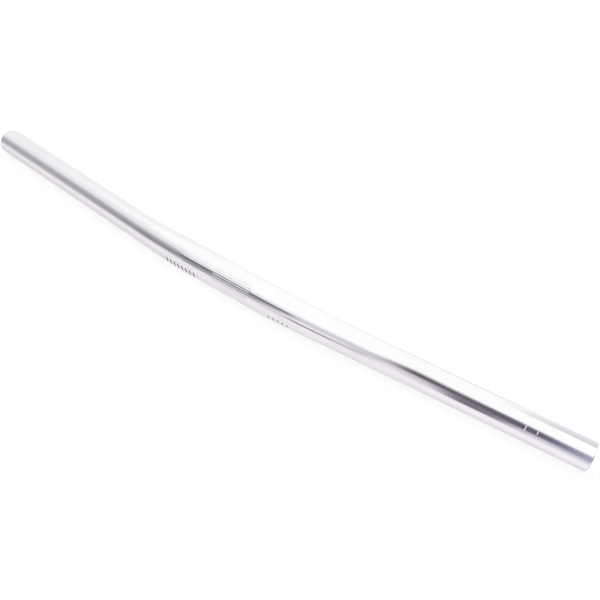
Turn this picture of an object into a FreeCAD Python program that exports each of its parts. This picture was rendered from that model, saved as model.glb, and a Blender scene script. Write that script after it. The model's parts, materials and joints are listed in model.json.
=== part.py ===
import FreeCAD, Part
import os
import Sketcher

# A flat handlebar: one aluminium tube, thick where the stem clamps it, drawn down through its two bends
# to the thinner grips, and cut square at both ends.
#
# Frame: the origin is the middle of the clamp, on the tube's axis. X runs along the clamp to the right,
# the front of the bar faces -Y, the grips sweep back towards +Y, and Z is up.

# Driving dimensions, in millimetres and degrees
DIMENSIONS = (
    ("end_to_end_width", 590.0, "straight across, between the middles of the two cut ends"),
    ("clamp_diameter", 25.4, "outside of the tube at the stem clamp"),
    ("clamp_length", 60.0, "straight stretch of full diameter in the middle"),
    ("grip_diameter", 22.2, "outside of the tube at the grips"),
    ("wall_thickness", 2.2, "wall of the tube, all along"),
    ("sweep_angle", 10.0, "turn of each grip back from the line of the clamp"),
    ("bend_radius", 420.0, "radius of each bend, on the axis of the tube"),
    ("end_edge_radius", 0.8, "rounding of the outer edge at each cut end"),
    ("bore_edge_bevel", 0.4, "bevel of the inner edge at each cut end"),
)

# The bend is drawn through this many rings, the ones at its two ends among them
BEND_RINGS = 9

# How near an edge lies to a cut end to be one of its rims
RIM_TOLERANCE = 0.01

document = FreeCAD.newDocument("flat_handlebar")
sizes = document.addObject("Spreadsheet::Sheet", "sizes")
for row, (alias, value, meaning) in enumerate(DIMENSIONS, start=1):
    sizes.set(f"A{row}", meaning)
    sizes.set(f"B{row}", str(value))
    sizes.setAlias(f"B{row}", alias)
document.recompute()

tube = document.addObject("PartDesign::Body", "handlebar_tube")
tube.Label = "handlebar_tube"


def origin_plane(role):
    """The tube's own origin plane of this role."""
    return next(plane for plane in tube.Origin.OriginFeatures if plane.Role == role)


def turn_at(bend_share):
    """Angle of the axis at a share of the bend, from 0 at the clamp to 1 at the grip, as an expression."""
    return f"({bend_share} * sizes.sweep_angle * 1 deg)"


def along_at(bend_share):
    """X of the axis at a share of the bend, as an expression."""
    return f"(sizes.clamp_length / 2 + sizes.bend_radius * sin({turn_at(bend_share)}))"


def back_at(bend_share):
    """Y of the axis at a share of the bend, as an expression."""
    return f"(sizes.bend_radius * (1 - cos({turn_at(bend_share)})))"


def diameter_at(bend_share):
    """Outside of the tube at a share of the bend: it drops slowly, steeply, then slowly, with no corner."""
    dropped = bend_share ** 2 * (3 - 2 * bend_share)
    return f"(sizes.clamp_diameter - {dropped} * (sizes.clamp_diameter - sizes.grip_diameter))"


def add_circle(sketch, name, diameter):
    """Adds a circle round the sketch's origin, with its diameter bound to an expression."""
    middle = FreeCAD.Vector(0, 0, 0)
    normal = FreeCAD.Vector(0, 0, 1)
    circle = sketch.addGeometry(Part.Circle(middle, normal, 1), False)
    sketch.addConstraint(Sketcher.Constraint("Coincident", circle, 3, -1, 1))
    constraint = sketch.addConstraint(Sketcher.Constraint("Diameter", circle, 2))
    sketch.renameConstraint(constraint, name)
    sketch.setExpression(f"Constraints.{name}", diameter)


def ring_sketch(name, bend_share):
    """The ring of metal that the tube has, square to its axis, at a share of the bend but drawn at X 0."""
    sketch = tube.newObject("Sketcher::SketchObject", name)
    sketch.AttachmentSupport = (origin_plane("YZ_Plane"), [""])
    sketch.MapMode = "FlatFace"
    bore = f"{diameter_at(bend_share)} - 2 * sizes.wall_thickness"
    add_circle(sketch, "bore_diameter", bore)
    add_circle(sketch, "outer_diameter", diameter_at(bend_share))
    return sketch


def bend_sketch(name, bend_share):
    """The tube's ring, moved and turned to its place on the right hand bend."""
    sketch = ring_sketch(name, bend_share)
    upright = FreeCAD.Vector(0, 1, 0)
    sketch.AttachmentOffset = FreeCAD.Placement(FreeCAD.Vector(0, 0, 0), FreeCAD.Rotation(upright, 1))
    sketch.setExpression("AttachmentOffset.Base.x", back_at(bend_share))
    sketch.setExpression("AttachmentOffset.Base.z", along_at(bend_share))
    sketch.setExpression("AttachmentOffset.Rotation.Angle", turn_at(bend_share))
    return sketch


def rim_edges(feature, diameter):
    """Names of the circles of this diameter round the two cut ends of a feature's shape."""
    names = []
    for number, edge in enumerate(feature.Shape.Edges, start=1):
        if not isinstance(edge.Curve, Part.Circle):
            continue
        off_end = abs(abs(edge.Curve.Center.x) - sizes.end_to_end_width / 2)
        off_size = abs(2 * edge.Curve.Radius - diameter)
        if max(off_end, off_size) < RIM_TOLERANCE:
            names.append(f"Edge{number}")
    return names


# Clamp: a straight length of tube, half on each side of the origin
clamp = tube.newObject("PartDesign::Pad", "clamp")
clamp.Profile = ring_sketch("clamp_ring", 0)
clamp.SideType = "Symmetric"
clamp.setExpression("Length", "sizes.clamp_length")

# Bend: the tube turns back and is drawn down from the clamp's diameter to the grip's
bend_rings = []
for ring in range(BEND_RINGS):
    bend_rings.append(bend_sketch(f"bend_ring_{ring + 1}", ring / (BEND_RINGS - 1)))
bend = tube.newObject("PartDesign::AdditiveLoft", "bend")
bend.Profile = bend_rings[0]
bend.Sections = bend_rings[1:]

# Grip: straight from the end of the bend to the cut end
grip = tube.newObject("PartDesign::Pad", "grip")
grip.Profile = bend_sketch("grip_ring", 1)
grip.setExpression("Length", f"(sizes.end_to_end_width / 2 - {along_at(1)}) / cos({turn_at(1)})")

# The left hand bend and grip mirror the right hand ones
both_sides = tube.newObject("PartDesign::Mirrored", "both_sides")
both_sides.MirrorPlane = (origin_plane("YZ_Plane"), [""])
both_sides.Originals = [bend, grip]
tube.Tip = both_sides
document.recompute()

# Rims of the cut ends: the outer edge is rounded, up to half of the wall, and the inner one is bevelled
outer_rims = tube.newObject("PartDesign::Fillet", "outer_rims")
outer_rims.Base = (both_sides, rim_edges(both_sides, sizes.grip_diameter))
outer_rims.setExpression("Radius", "min(sizes.end_edge_radius; sizes.wall_thickness / 2)")
tube.Tip = outer_rims
document.recompute()

bore_rims = tube.newObject("PartDesign::Chamfer", "bore_rims")
bore_rims.Base = (outer_rims, rim_edges(outer_rims, sizes.grip_diameter - 2 * sizes.wall_thickness))
bore_rims.setExpression("Size", "min(sizes.bore_edge_bevel; sizes.wall_thickness / 4)")
tube.Tip = bore_rims
document.recompute()

for item in document.Objects:
    if "Invalid" in item.State or "Error" in item.State:
        raise RuntimeError(f"{item.Label} failed: {item.State}")
if tube.Shape.isNull() or not tube.Shape.isValid() or len(tube.Shape.Solids) != 1:
    raise RuntimeError("the tube is not one valid solid")

os.makedirs("parts", exist_ok=True)
tube.Shape.exportStep(f"parts/{tube.Label}.step")
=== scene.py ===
import json
import math

import bmesh
import bpy
from mathutils import Matrix, Vector


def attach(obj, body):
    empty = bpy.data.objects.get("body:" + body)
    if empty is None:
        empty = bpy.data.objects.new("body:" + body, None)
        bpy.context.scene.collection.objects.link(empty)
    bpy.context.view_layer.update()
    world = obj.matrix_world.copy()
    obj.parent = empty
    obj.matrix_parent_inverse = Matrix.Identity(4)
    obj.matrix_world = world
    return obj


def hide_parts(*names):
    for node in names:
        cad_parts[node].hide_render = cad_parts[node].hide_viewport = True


# A polished aluminium flat handlebar, lying on a white studio floor.
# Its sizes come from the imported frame, in metres: X runs along the clamp, the grips sweep back to +Y.

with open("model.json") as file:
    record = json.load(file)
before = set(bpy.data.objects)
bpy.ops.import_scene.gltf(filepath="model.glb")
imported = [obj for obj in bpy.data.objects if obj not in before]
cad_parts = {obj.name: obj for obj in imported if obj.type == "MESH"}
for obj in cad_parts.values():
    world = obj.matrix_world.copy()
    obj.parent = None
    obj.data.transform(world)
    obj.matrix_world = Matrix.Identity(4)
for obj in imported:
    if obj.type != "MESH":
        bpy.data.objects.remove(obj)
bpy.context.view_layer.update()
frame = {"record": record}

MM = 0.001
NODE = "handlebar_tube"

# Sizes of the tube, read from its mounts
mounts = {mount["name"]: mount for mount in frame["record"]["mounts"]}
CLAMP_RADIUS = mounts["stem_clamp"]["dims"]["r_mm"] * MM
CLAMP_HALF = mounts["stem_clamp"]["dims"]["length_mm"] * MM / 2
GRIP_RADIUS = mounts["right_grip"]["dims"]["r_mm"] * MM
GRIP_LENGTH = mounts["right_grip"]["dims"]["length_mm"] * MM
GRIP_AXIS = Vector(mounts["right_grip"]["axis"])
GRIP_START = Vector(mounts["right_grip"]["pos_m"]) - GRIP_AXIS * (GRIP_LENGTH / 2)
WALL = GRIP_RADIUS - mounts["right_end_bore"]["dims"]["r_mm"] * MM
SWEEP = math.atan2(GRIP_AXIS.y, GRIP_AXIS.x)
BEND_RADIUS = GRIP_START.y / (1 - math.cos(SWEEP))
BEND_LENGTH = BEND_RADIUS * SWEEP
GRIP_FROM = CLAMP_HALF + BEND_LENGTH

# The cut ends: rounded outside, bevelled inside
END_ROUND = 0.8 * MM
GRIP_TO = GRIP_FROM + GRIP_LENGTH
END_AT = GRIP_TO + END_ROUND
BORE_END = GRIP_FROM + mounts["right_end_bore"]["dims"]["length_mm"] * MM
BORE_BEVEL = END_AT - BORE_END

# Fine straight grooves rolled along the clamp, all round it, so that the bar can't turn in its stem
KNURL_FROM = -8 * MM
KNURL_TO = 28 * MM
KNURL_RUN_OUT = 1.2 * MM
KNURL_GROOVES = 36
KNURL_DEPTH = 0.27 * MM
LAND_FALL = 0.09 * MM
GROOVE_POINTS = 10

# Steps of the tube's mesh, and the close rings that keep its edges crisp
RING_SIDES = KNURL_GROOVES * GROOVE_POINTS
BEND_STEPS = 28
GRIP_STEPS = 6
ROUND_STEPS = 6
SUPPORT = 0.1 * MM
RIM_SUPPORT = 0.06 * MM
WELD_GAP = 0.001 * MM

# The tube's finishes, in the order of its materials
FINISHES = ("polished", "cut", "bore")


def smooth_share(share):
    """Eases a share from 0 to 1: slow, steep, slow."""
    held = min(max(share, 0.0), 1.0)
    return held ** 2 * (3 - 2 * held)


def axis_at(distance):
    """Place of the tube's axis, and its turn round Z, at a distance to the right of the middle."""
    side = math.copysign(1.0, distance)
    reach = abs(distance)
    turned = min(max(reach - CLAMP_HALF, 0.0) / BEND_RADIUS, SWEEP)
    straight = max(reach - GRIP_FROM, 0.0)
    x = min(reach, CLAMP_HALF) + BEND_RADIUS * math.sin(turned) + straight * math.cos(SWEEP)
    y = BEND_RADIUS * (1 - math.cos(turned)) + straight * math.sin(SWEEP)
    return Vector((side * x, y, 0)), side * turned


def radius_at(distance):
    """Outside of the tube at a distance along its axis, without the clamp's grooves."""
    drawn_down = smooth_share((abs(distance) - CLAMP_HALF) / BEND_LENGTH)
    return CLAMP_RADIUS - drawn_down * (CLAMP_RADIUS - GRIP_RADIUS)


def ring_place(distance, radius):
    """Takes a unit ring, square to X, to its place and size on the tube."""
    place, turned = axis_at(distance)
    return Matrix.Translation(place) @ Matrix.Rotation(turned, 4, "Z") @ Matrix.Scale(radius, 4)


def spread(first, last, steps):
    """Evenly spaced values after the first, up to and with the last."""
    return [first + (last - first) * step / steps for step in range(1, steps + 1)]


def outside_steps():
    """Steps of (distance, radius, finish) along the outside, from the left end to the right one."""
    held = GRIP_TO - SUPPORT
    plain = [-held] + spread(-held, -GRIP_FROM, GRIP_STEPS)
    plain += spread(-GRIP_FROM, -CLAMP_HALF, BEND_STEPS)
    plain += [KNURL_FROM - SUPPORT, KNURL_FROM, KNURL_FROM + KNURL_RUN_OUT]
    plain += [KNURL_TO - KNURL_RUN_OUT, KNURL_TO, KNURL_TO + SUPPORT]
    plain += [CLAMP_HALF] + spread(CLAMP_HALF, GRIP_FROM, BEND_STEPS)
    plain += spread(GRIP_FROM, held, GRIP_STEPS) + [GRIP_TO]
    return [(distance, radius_at(distance), "polished") for distance in plain]


def end_steps():
    """Steps round the right end: over the rounded edge, across the cut, down the bevel into the bore."""
    bore_radius = GRIP_RADIUS - WALL
    steps = []
    for angle in spread(0, math.pi / 2, ROUND_STEPS):
        distance = GRIP_TO + END_ROUND * math.sin(angle)
        steps.append((distance, GRIP_RADIUS - END_ROUND + END_ROUND * math.cos(angle), "polished"))
    steps.append((END_AT, GRIP_RADIUS - END_ROUND - RIM_SUPPORT, "cut"))
    steps.append((END_AT, bore_radius + BORE_BEVEL + RIM_SUPPORT, "cut"))
    steps.append((END_AT, bore_radius + BORE_BEVEL, "cut"))
    steps.append((BORE_END, bore_radius, "cut"))
    return steps


def inside_steps():
    """Steps back through the bore, from the right end to the left one."""
    plain = spread(BORE_END, GRIP_FROM, GRIP_STEPS) + spread(GRIP_FROM, CLAMP_HALF, BEND_STEPS)
    plain += [-CLAMP_HALF]
    plain += spread(-CLAMP_HALF, -GRIP_FROM, BEND_STEPS) + spread(-GRIP_FROM, -BORE_END, GRIP_STEPS)
    return [(distance, radius_at(distance) - WALL, "bore") for distance in plain]


def left_end_steps():
    """Steps round the left end, from its bore back to the outside: the right ones, mirrored."""
    right = [(GRIP_TO, GRIP_RADIUS, "polished")] + end_steps()
    steps = []
    for index in range(len(right) - 1, 0, -1):
        distance, radius, _ = right[index - 1]
        steps.append((-distance, radius, right[index][2]))
    return steps


def roll_knurl(mesh, along):
    """Rolls the clamp's grooves into the outside of the tube, with crowned lands between them."""
    borders = (1, GROOVE_POINTS - 1)
    crown = GROOVE_POINTS / 2
    side_of = {}
    for point in mesh.verts:
        outside = math.hypot(point.co.y, point.co.z) > CLAMP_RADIUS - WALL / 2
        if outside and KNURL_FROM - SUPPORT / 2 < point[along] < KNURL_TO + SUPPORT / 2:
            turn = math.atan2(point.co.z, -point.co.y) / (2 * math.pi)
            side_of[point] = round(turn * RING_SIDES) % GROOVE_POINTS
    for edge in mesh.edges:
        first, second = [side_of.get(point) for point in edge.verts]
        edge.smooth = first != second or first not in borders
    for side in range(GROOVE_POINTS):
        # Side 0 is the bottom of a groove, and the others lie on the land beside it
        depth = KNURL_DEPTH
        if side > 0:
            depth = LAND_FALL * ((side - crown) / (crown - 1)) ** 2
        shrink = 1 - depth / CLAMP_RADIUS
        sunk = []
        for point, own_side in side_of.items():
            full = KNURL_FROM + SUPPORT < point[along] < KNURL_TO - SUPPORT
            if full and own_side == side:
                sunk.append(point)
        bmesh.ops.scale(mesh, vec=(1, shrink, shrink), verts=sunk)


def tube_mesh():
    """The whole tube as one closed mesh, with the distance along its axis kept on its points."""
    mesh = bmesh.new()
    along = mesh.verts.layers.float.new("along")
    square_to_x = Matrix.Rotation(math.pi / 2, 4, "Y")
    bmesh.ops.create_circle(mesh, segments=RING_SIDES, radius=1, matrix=square_to_x)
    here = ring_place(-GRIP_TO, GRIP_RADIUS)
    bmesh.ops.transform(mesh, matrix=here, verts=mesh.verts)
    for point in mesh.verts:
        point[along] = -GRIP_TO
    ring = list(mesh.edges)
    for distance, radius, finish in outside_steps() + end_steps() + inside_steps() + left_end_steps():
        there = ring_place(distance, radius)
        drawn = bmesh.ops.extrude_edge_only(mesh, edges=ring)["geom"]
        points = [item for item in drawn if isinstance(item, bmesh.types.BMVert)]
        bmesh.ops.transform(mesh, matrix=there @ here.inverted(), verts=points)
        for point in points:
            point[along] = distance
        for face in drawn:
            if isinstance(face, bmesh.types.BMFace):
                face.material_index = FINISHES.index(finish)
        new_points = set(points)
        ring = [
            item for item in drawn
            if isinstance(item, bmesh.types.BMEdge) and set(item.verts) <= new_points
        ]
        here = there
    bmesh.ops.remove_doubles(mesh, verts=mesh.verts, dist=WELD_GAP)
    roll_knurl(mesh, along)
    bmesh.ops.recalc_face_normals(mesh, faces=mesh.faces)
    for face in mesh.faces:
        face.smooth = True
    return mesh


# Marks: thin ticks laid on the tube, each as (distance along it, lowest angle, highest angle).
# Angles are in degrees from the front (-Y) up towards +Z.
BOLD_TICK = 1.2 * MM
FINE_TICK = 0.8 * MM
TICK_SINK = 0.004 * MM
TICK_PROUD = 0.016 * MM
TICK_SIDES = 10
SCALE_STEP = 4

# Plain scales on the lower front, either side of the clamp, and two marks where the bar may be cut
LEFT_SCALE = [(distance * MM, -56.0, -31.0) for distance in range(-53, -24, SCALE_STEP)]
RIGHT_SCALE = [(distance * MM, -50.0, -38.0) for distance in range(48, 65, SCALE_STEP)]
CUT_MARKS = [(249.2 * MM, 1.0, 23.0), (258.0 * MM, 6.0, 21.0)]


def tick_mesh(ticks, width):
    """Thin plates of one width that follow the tube, one for each tick."""
    mesh = bmesh.new()
    for distance, lowest, highest in ticks:
        others = set(mesh.verts)
        radius = radius_at(distance) - TICK_SINK
        low = math.radians(lowest)
        first = Vector((0, -math.cos(low), math.sin(low))) * radius
        across = Vector((width / 2, 0, 0))
        corners = [mesh.verts.new(first - across), mesh.verts.new(first + across)]
        strip = corners + [mesh.edges.new(corners)]
        turn = math.radians(lowest - highest)
        bmesh.ops.spin(mesh, geom=strip, cent=(0, 0, 0), axis=(1, 0, 0), angle=turn, steps=TICK_SIDES)
        plate = [face for face in mesh.faces if others.isdisjoint(face.verts)]
        raised = bmesh.ops.extrude_face_region(mesh, geom=plate)["geom"]
        top = [item for item in raised if isinstance(item, bmesh.types.BMVert)]
        grow = (radius + TICK_SINK + TICK_PROUD) / radius
        bmesh.ops.scale(mesh, vec=(1, grow, grow), verts=top)
        own = [point for point in mesh.verts if point not in others]
        bmesh.ops.transform(mesh, matrix=ring_place(distance, 1.0), verts=own)
    bmesh.ops.recalc_face_normals(mesh, faces=mesh.faces)
    return mesh


def new_object(name, mesh, materials):
    """Makes an object of a mesh and its materials."""
    data = bpy.data.meshes.new(name)
    mesh.to_mesh(data)
    mesh.free()
    for material in materials:
        data.materials.append(material)
    made = bpy.data.objects.new(name, data)
    bpy.context.scene.collection.objects.link(made)
    return made


def piece(name, mesh, materials):
    """Makes an object that rides on the bar."""
    made = new_object(name, mesh, materials)
    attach(made, "root")
    return made


# Node helpers


def new_material(name):
    """An empty node material, with its tree and its output."""
    material = bpy.data.materials.new(name)
    material.use_nodes = True
    tree = material.node_tree
    tree.nodes.clear()
    return material, tree, tree.nodes.new("ShaderNodeOutputMaterial")


def feed(tree, socket, value):
    """Gives a node's input another node's output, a number, or a colour of three numbers."""
    if isinstance(value, bpy.types.NodeSocket):
        tree.links.new(value, socket)
    elif isinstance(value, tuple):
        socket.default_value = (*value, 1)
    else:
        socket.default_value = value


def calculate(tree, operation, *values):
    """A Math node on outputs or numbers."""
    node = tree.nodes.new("ShaderNodeMath")
    node.operation = operation
    for socket, value in zip(node.inputs, values):
        feed(tree, socket, value)
    return node.outputs[0]


def ease(tree, value, start, end, low=0.0, high=1.0):
    """Runs smoothly from low to high as a value goes from start to end."""
    node = tree.nodes.new("ShaderNodeMapRange")
    node.interpolation_type = "SMOOTHSTEP"
    names = ("Value", "From Min", "From Max", "To Min", "To Max")
    for name, given in zip(names, (value, start, end, low, high)):
        feed(tree, node.inputs[name], given)
    return node.outputs["Result"]


def blend_colours(tree, share, first, second):
    """Mixes two colours by a share."""
    node = tree.nodes.new("ShaderNodeMix")
    node.data_type = "RGBA"
    feed(tree, node.inputs["Factor"], share)
    for name, colour in (("A", first), ("B", second)):
        socket = [item for item in node.inputs if item.name == name and item.type == "RGBA"][0]
        feed(tree, socket, colour)
    return [item for item in node.outputs if item.type == "RGBA"][0]


def noise(tree, vector, scale, detail, roughness=0.7):
    """A noise texture's value, 0 to 1, over a vector."""
    node = tree.nodes.new("ShaderNodeTexNoise")
    for name, given in (("Vector", vector), ("Scale", scale), ("Detail", detail), ("Roughness", roughness)):
        feed(tree, node.inputs[name], given)
    return node.outputs[0]


def object_place(tree):
    """Coordinates of the piece itself."""
    return tree.nodes.new("ShaderNodeTexCoord").outputs["Object"]


def tube_place(tree, along_scale, across_scale):
    """Coordinates that follow the tube: a noise on them makes lines, finest where the scale is larger."""
    distance = tree.nodes.new("ShaderNodeAttribute")
    distance.attribute_name = "along"
    parts = tree.nodes.new("ShaderNodeSeparateXYZ")
    feed(tree, parts.inputs[0], object_place(tree))
    joined = tree.nodes.new("ShaderNodeCombineXYZ")
    feed(tree, joined.inputs["X"], calculate(tree, "MULTIPLY", distance.outputs["Fac"], along_scale))
    for axis in ("Y", "Z"):
        feed(tree, joined.inputs[axis], calculate(tree, "MULTIPLY", parts.outputs[axis], across_scale))
    return joined.outputs[0]


def bump(tree, height, distance):
    """A bump normal from a height of 0 to 1 over a distance in metres."""
    node = tree.nodes.new("ShaderNodeBump")
    feed(tree, node.inputs["Distance"], distance)
    feed(tree, node.inputs["Height"], height)
    return node.outputs[0]


# Finishes: scales are in spots or lines a metre, and roughness runs from a lowest to a highest value
METAL = 1.0
COATING = 0.0
POLISH_CLOUDS = 38
POLISH_LINES = 2600
POLISH_WANDER = 60
POLISH_COLOURS = ((0.90, 0.90, 0.905), (0.93, 0.93, 0.935))
POLISH_HAZE = (0.02, 0.045)
POLISH_SCRATCHES = (0.0, 0.02)
POLISH_BUMP = 0.0012 * MM
CUT_GRAIN = 900
CUT_COLOURS = ((0.72, 0.72, 0.73), (0.86, 0.86, 0.87))
CUT_ROUGHNESS = (0.22, 0.38)
CUT_BUMP = 0.008 * MM
BORE_WANDER = 20
BORE_STREAKS = 900
BORE_COLOURS = ((0.50, 0.50, 0.51), (0.70, 0.70, 0.71))
BORE_ROUGHNESS = (0.32, 0.5)
BORE_BUMP = 0.012 * MM
INK_SPECKS = 1400
INK_COLOURS = ((0.030, 0.028, 0.032), (0.11, 0.105, 0.11))
INK_ROUGHNESS = (0.38, 0.55)
INK_BUMP = 0.004 * MM
FROST_GRAIN = 2200
FROST_COLOURS = ((0.74, 0.74, 0.76), (0.92, 0.92, 0.93))
FROST_ROUGHNESS = (0.5, 0.75)
FROST_BUMP = 0.006 * MM

# Spans of a noise's values: nearly all of them, or fewer, for more contrast
NOISE_SPAN = (0.2, 0.8)
CLOUD_SPAN = (0.3, 0.7)
HAZE_SPAN = (0.35, 0.75)
SCRATCH_SPAN = (0.3, 0.8)
WEAR_SPAN = (0.35, 0.75)


def join_finish(tree, output, metallic, colour, roughness, normal):
    """Joins a finish's colour, roughness and bump to its output."""
    shader = tree.nodes.new("ShaderNodeBsdfPrincipled")
    given = {"Metallic": metallic, "Base Color": colour, "Roughness": roughness, "Normal": normal}
    for name, value in given.items():
        feed(tree, shader.inputs[name], value)
    feed(tree, output.inputs["Surface"], shader.outputs[0])


def polished_aluminium():
    """Buffed to a mirror: faint cloudy patches, and fine buffing lines round the tube."""
    material, tree, output = new_material("polished_aluminium")
    clouds = noise(tree, object_place(tree), POLISH_CLOUDS, detail=4, roughness=0.5)
    buffing = noise(tree, tube_place(tree, POLISH_LINES, POLISH_WANDER), scale=1.0, detail=4)
    colour = blend_colours(tree, ease(tree, clouds, *CLOUD_SPAN), *POLISH_COLOURS)
    haze = ease(tree, clouds, *HAZE_SPAN, *POLISH_HAZE)
    scratches = ease(tree, buffing, *SCRATCH_SPAN, *POLISH_SCRATCHES)
    roughness = calculate(tree, "ADD", haze, scratches)
    join_finish(tree, output, METAL, colour, roughness, bump(tree, buffing, POLISH_BUMP))
    return material


def cut_aluminium():
    """The sawn and turned ends: satin, with a fine grain."""
    material, tree, output = new_material("cut_aluminium")
    grain = noise(tree, object_place(tree), CUT_GRAIN, detail=5)
    colour = blend_colours(tree, grain, *CUT_COLOURS)
    roughness = ease(tree, grain, *NOISE_SPAN, *CUT_ROUGHNESS)
    join_finish(tree, output, METAL, colour, roughness, bump(tree, grain, CUT_BUMP))
    return material


def bore_aluminium():
    """The drawn inside of the tube: dull grey, with streaks along it."""
    material, tree, output = new_material("bore_aluminium")
    streaks = noise(tree, tube_place(tree, BORE_WANDER, BORE_STREAKS), scale=1.0, detail=5)
    colour = blend_colours(tree, streaks, *BORE_COLOURS)
    roughness = ease(tree, streaks, *NOISE_SPAN, *BORE_ROUGHNESS)
    join_finish(tree, output, METAL, colour, roughness, bump(tree, streaks, BORE_BUMP))
    return material


def tick_ink():
    """Baked on ink: near black, a little worn and speckled."""
    material, tree, output = new_material("tick_ink")
    specks = noise(tree, object_place(tree), INK_SPECKS, detail=4)
    colour = blend_colours(tree, ease(tree, specks, *WEAR_SPAN), *INK_COLOURS)
    roughness = ease(tree, specks, *NOISE_SPAN, *INK_ROUGHNESS)
    join_finish(tree, output, COATING, colour, roughness, bump(tree, specks, INK_BUMP))
    return material


def tick_etching():
    """Frosted white etching in the polish."""
    material, tree, output = new_material("tick_etching")
    frost = noise(tree, object_place(tree), FROST_GRAIN, detail=4)
    colour = blend_colours(tree, frost, *FROST_COLOURS)
    roughness = ease(tree, frost, *NOISE_SPAN, *FROST_ROUGHNESS)
    join_finish(tree, output, COATING, colour, roughness, bump(tree, frost, FROST_BUMP))
    return material


# Studio
FLOOR_REACH = 3.0
FLOOR_GLOW = 0.83
FLOOR_PAINT = (0.20, 0.20, 0.20)
WHITE = (1.0, 1.0, 1.0)


def choose_shader(tree, output, ray, plain, chosen):
    """Shows the chosen shader to one kind of ray, and the plain one to all others."""
    rays = tree.nodes.new("ShaderNodeLightPath")
    shown = tree.nodes.new("ShaderNodeMixShader")
    for socket, value in zip(shown.inputs, (rays.outputs[ray], plain.outputs[0], chosen.outputs[0])):
        feed(tree, socket, value)
    feed(tree, output.inputs["Surface"], shown.outputs[0])


def floor_material():
    """White floor: it glows a little to meet the white background and still takes the bar's shadow."""
    material, tree, output = new_material("studio_floor")
    glow = tree.nodes.new("ShaderNodeEmission")
    feed(tree, glow.inputs["Strength"], FLOOR_GLOW)
    paint = tree.nodes.new("ShaderNodeBsdfDiffuse")
    feed(tree, paint.inputs["Color"], FLOOR_PAINT)
    lit = tree.nodes.new("ShaderNodeAddShader")
    feed(tree, lit.inputs[0], glow.outputs[0])
    feed(tree, lit.inputs[1], paint.outputs[0])
    clear = tree.nodes.new("ShaderNodeBsdfTransparent")
    choose_shader(tree, output, "Is Glossy Ray", lit, clear)
    return material


def studio_floor():
    """A plain white floor that the bar's clamp rests on."""
    mesh = bmesh.new()
    level = Matrix.Translation((0, 0, -CLAMP_RADIUS))
    bmesh.ops.create_grid(mesh, x_segments=1, y_segments=1, size=FLOOR_REACH, matrix=level)
    made = new_object("studio_floor", mesh, [floor_material()])


# What stands round the bar and shows in its polish. Angles are in degrees: azimuth 0 is straight in
# front (-Y) and grows towards +X, elevation is above the horizon. Each edge runs from where a card
# starts to where it is full. A card's slope is how far it climbs for each degree to its right.
# name: left edge, right edge, low edge, high edge, slope, colour
STUDIO_CARDS = {
    "left_sky": ((-162, -132), (-45, -80), (0, 10), (52, 34), 0.0, (0.945, 0.915, 0.945)),
    "floor_behind": ((75, 105), (285, 255), (-95, -92), (-22, -36), 0.0, (0.84, 0.815, 0.84)),
    "floor_left": ((-128, -109), (-78, -104), (-74, -56), (-24, -36), 0.0, (0.76, 0.73, 0.75)),
    "floor_right": ((-4, 8), (120, 80), (-90, -80), (-42, -54), 0.0, (0.975, 0.925, 0.985)),
    "back_haze": ((150, 165), (202, 190), (-14, 2), (46, 26), 0.0, (0.945, 0.94, 0.95)),
    "back_shade": ((104, 122), (214, 198), (-46, -30), (-2, -13), 0.0, (0.32, 0.315, 0.34)),
    "back_wall": ((105, 122), (262, 242), (-31, -21), (0, -10), 0.0, (0.24, 0.24, 0.27)),
    "left_haze": ((-80, -66), (-24, -46), (-10, 10), (46, 26), 0.0, (0.865, 0.835, 0.87)),
    "front_wall": ((-80, -66), (30, 14), (-22, -4), (28, 2), 0.0, (0.67, 0.645, 0.695)),
    "left_wall": ((-72, -58), (-31, -38), (-30, -8), (23, 5), 0.0, (0.465, 0.46, 0.49)),
    "left_core": ((-90, -68), (-44, -58), (-32, -7), (14, -3), 0.0, (0.43, 0.425, 0.455)),
    "left_shade": ((-61, -50), (-30, -40), (-32, -10), (8, -6), 0.0, (0.285, 0.285, 0.32)),
    "middle_shade": ((-42, -33), (-4, -33), (-38, -20), (7, -6), 0.0, (0.36, 0.355, 0.39)),
    "rail_shade": ((-42, -33), (-5, -22), (-22, -5), (5, -4), 0.0, (0.29, 0.285, 0.32)),
    "rail_haze": ((-37, -33), (-6, -11), (4, 7), (15, 9), 0.0, (0.82, 0.795, 0.86)),
    "dark_rail": ((-38, -34), (-6, -11.5), (-10, 0), (6, 4), 0.0, (0.18, 0.17, 0.21)),
    "table_left": ((-34, -22), (-9, -15), (-46, -36), (-20, -30), 0.0, (0.74, 0.71, 0.74)),
    "low_table": ((-15, -11), (5, -3), (-44, -36), (-24, -32), 0.0, (0.35, 0.335, 0.36)),
    "table_edge": ((-2, 1), (7, 4.5), (-30, -20), (-5, -15), 5.0, (0.64, 0.61, 0.65)),
    "stand_floor": ((3.5, 6), (13, 9), (-50, -14), (12, 2), 0.0, (0.66, 0.645, 0.70)),
    "stand_tall": ((14, 18), (40, 26), (-54, -10), (34, 10), 0.0, (0.46, 0.46, 0.60)),
    "stand_side": ((10, 14), (20.5, 15.5), (-24, -4), (38, 8), 0.0, (0.145, 0.13, 0.205)),
    "stand_low": ((7, 10.5), (18, 11.5), (-48, -32), (4, -6), 0.0, (0.21, 0.185, 0.235)),
    "stand_high": ((2.8, 6.8), (19, 12), (-14, 8), (44, 15), -1.0, (0.15, 0.115, 0.155)),
    "back_strip": ((140, 160), (186, 181), (2, 30), (70, 60), 0.0, (0.80, 0.79, 0.855)),
    "back_strip_high": ((118, 140), (179, 171), (52, 63), (80, 73), 0.0, (0.69, 0.68, 0.73)),
    "right_wall": ((25, 38), (122, 92), (-30, -5), (35, 8), 0.0, (0.42, 0.42, 0.45)),
    "far_left_wall": ((-135, -118), (-72, -84), (-24, -6), (26, 8), 0.0, (0.40, 0.40, 0.42)),
}
SKY = (1.07, 1.07, 1.07)
GROUND = (0.915, 0.87, 0.915)
GROUND_UP_TO = -25
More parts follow.
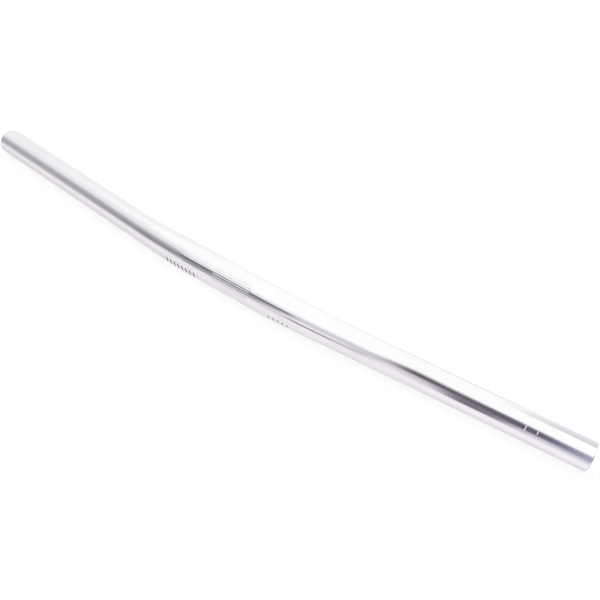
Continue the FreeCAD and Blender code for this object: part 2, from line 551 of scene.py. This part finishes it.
SKY_FROM = 35
HALF_TURN = 180


def studio_card(tree, azimuth, elevation, colour, card):
    """Lays one soft edged card over the studio's colour."""
    left, right, low, high, slope, paint = card
    middle = (left[1] + right[1]) / 2
    turned = calculate(tree, "SUBTRACT", azimuth, middle)
    beside = calculate(tree, "WRAP", turned, HALF_TURN, -HALF_TURN)
    height = calculate(tree, "SUBTRACT", elevation, calculate(tree, "MULTIPLY", beside, slope))
    mask = 1.0
    for start, full in (left, right):
        mask = calculate(tree, "MULTIPLY", mask, ease(tree, beside, start - middle, full - middle))
    for start, full in (low, high):
        mask = calculate(tree, "MULTIPLY", mask, ease(tree, height, start, full))
    return blend_colours(tree, mask, colour, paint)


def studio_world():
    """Bright soft studio, white to the camera, with the darker cards of the room round the bar."""
    world = bpy.data.worlds.new("studio")
    bpy.context.scene.world = world
    world.use_nodes = True
    tree = world.node_tree
    tree.nodes.clear()
    output = tree.nodes.new("ShaderNodeOutputWorld")
    parts = tree.nodes.new("ShaderNodeSeparateXYZ")
    feed(tree, parts.inputs[0], tree.nodes.new("ShaderNodeTexCoord").outputs["Generated"])
    x, y, z = parts.outputs
    forward = calculate(tree, "MULTIPLY", y, -1.0)
    azimuth = calculate(tree, "DEGREES", calculate(tree, "ARCTAN2", x, forward))
    elevation = calculate(tree, "DEGREES", calculate(tree, "ARCSINE", z))
    colour = blend_colours(tree, ease(tree, elevation, GROUND_UP_TO, SKY_FROM), GROUND, SKY)
    for card in STUDIO_CARDS.values():
        colour = studio_card(tree, azimuth, elevation, colour, card)
    room = tree.nodes.new("ShaderNodeBackground")
    feed(tree, room.inputs["Color"], colour)
    white = tree.nodes.new("ShaderNodeBackground")
    feed(tree, white.inputs["Color"], WHITE)
    choose_shader(tree, output, "Is Camera Ray", room, white)


# Camera: a 50 mm lens close in front, on the right, tilted so that the bar runs down to the right
CAMERA_LENS = 49.815
CAMERA_SENSOR = 36.0
CAMERA_NEAR = 10 * MM
CAMERA_AIM = Vector((48.04, 36.83, 0.0)) * MM
CAMERA_DISTANCE = 666.0 * MM
CAMERA_AZIMUTH = math.radians(23.141)
CAMERA_ELEVATION = math.radians(17.138)
CAMERA_TILT = math.radians(21.422)


def studio_camera():
    """Looks at the bar from its front right."""
    data = bpy.data.cameras.new("camera")
    data.lens = CAMERA_LENS
    data.sensor_width = CAMERA_SENSOR
    data.clip_start = CAMERA_NEAR
    camera = bpy.data.objects.new("camera", data)
    aimed = Matrix.Translation(CAMERA_AIM) @ Matrix.Rotation(CAMERA_AZIMUTH, 4, "Z")
    raised = aimed @ Matrix.Rotation(math.pi / 2 - CAMERA_ELEVATION, 4, "X")
    moved_back = raised @ Matrix.Translation((0, 0, CAMERA_DISTANCE))
    camera.matrix_world = moved_back @ Matrix.Rotation(CAMERA_TILT, 4, "Z")
    bpy.context.scene.collection.objects.link(camera)
    bpy.context.scene.camera = camera


tube = piece(NODE + "_polished", tube_mesh(), [polished_aluminium(), cut_aluminium(), bore_aluminium()])
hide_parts(NODE)

ink = tick_ink()
for name, ticks, width, finish in (
    ("left_scale_ticks", LEFT_SCALE, BOLD_TICK, ink),
    ("right_scale_ticks", RIGHT_SCALE, FINE_TICK, ink),
    ("cut_mark_ticks", CUT_MARKS, FINE_TICK, tick_etching()),
):
    marks = piece(name, tick_mesh(ticks, width), [finish])

studio_floor()
studio_world()
studio_camera()
bpy.context.scene.view_settings.view_transform = "Standard"
